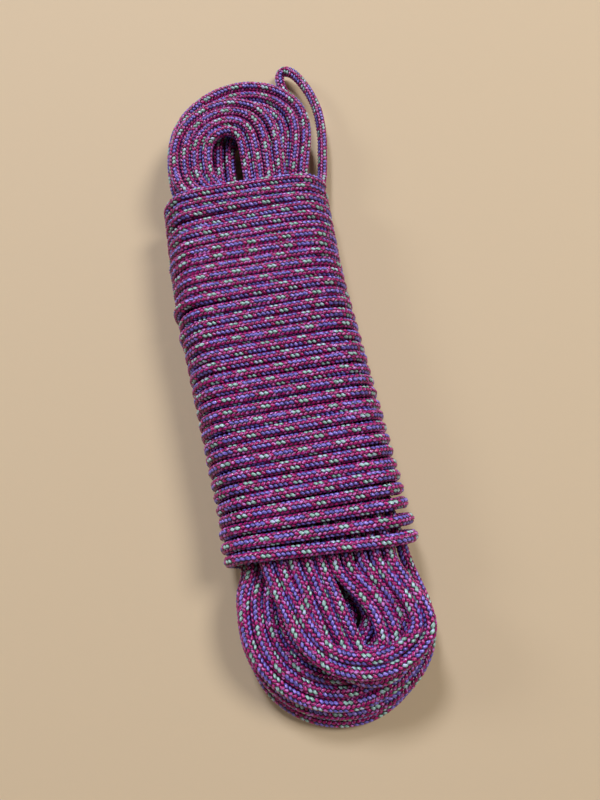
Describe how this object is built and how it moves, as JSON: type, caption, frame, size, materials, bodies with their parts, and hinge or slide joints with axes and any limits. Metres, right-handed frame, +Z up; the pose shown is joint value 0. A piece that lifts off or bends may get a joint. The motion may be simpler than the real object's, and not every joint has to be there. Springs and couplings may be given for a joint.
{
  "type": "climbing rope",
  "caption": "Dynamic kernmantle climbing rope folded into a long flat hank, wound round the middle with its own tail, with one bight standing out past an end.",
  "frame": {"origin": "on the ground under the middle of the bundle's box", "axes": "+X across the bundle, +Y along it towards the bight, +Z up"},
  "size_m": [0.1366, 0.497, 0.0506],
  "materials": {
    "rope_sheath": "woven nylon sheath, magenta with violet and mint flecks",
    "core_yarn": "undyed twisted nylon",
    "marker_tape": "plain film tape",
    "fused_nylon": "melted nylon",
    "clear_sleeve": "clear shrink film"
  },
  "bodies": {
    "root": {"hank_loops": "rope_sheath", "wrap_lower_turns": "rope_sheath", "wrap_upper_turns": "rope_sheath", "bight": "rope_sheath", "inner_end_sheath": "rope_sheath", "inner_end_core_strands": "core_yarn", "inner_end_marker_tape": "marker_tape", "inner_end_fused_tip": "fused_nylon", "inner_end_sleeve": "clear_sleeve", "tail_end_sheath": "rope_sheath", "tail_end_core_strands": "core_yarn", "tail_end_marker_tape": "marker_tape", "tail_end_fused_tip": "fused_nylon", "tail_end_sleeve": "clear_sleeve"}
  },
  "joints": []
}
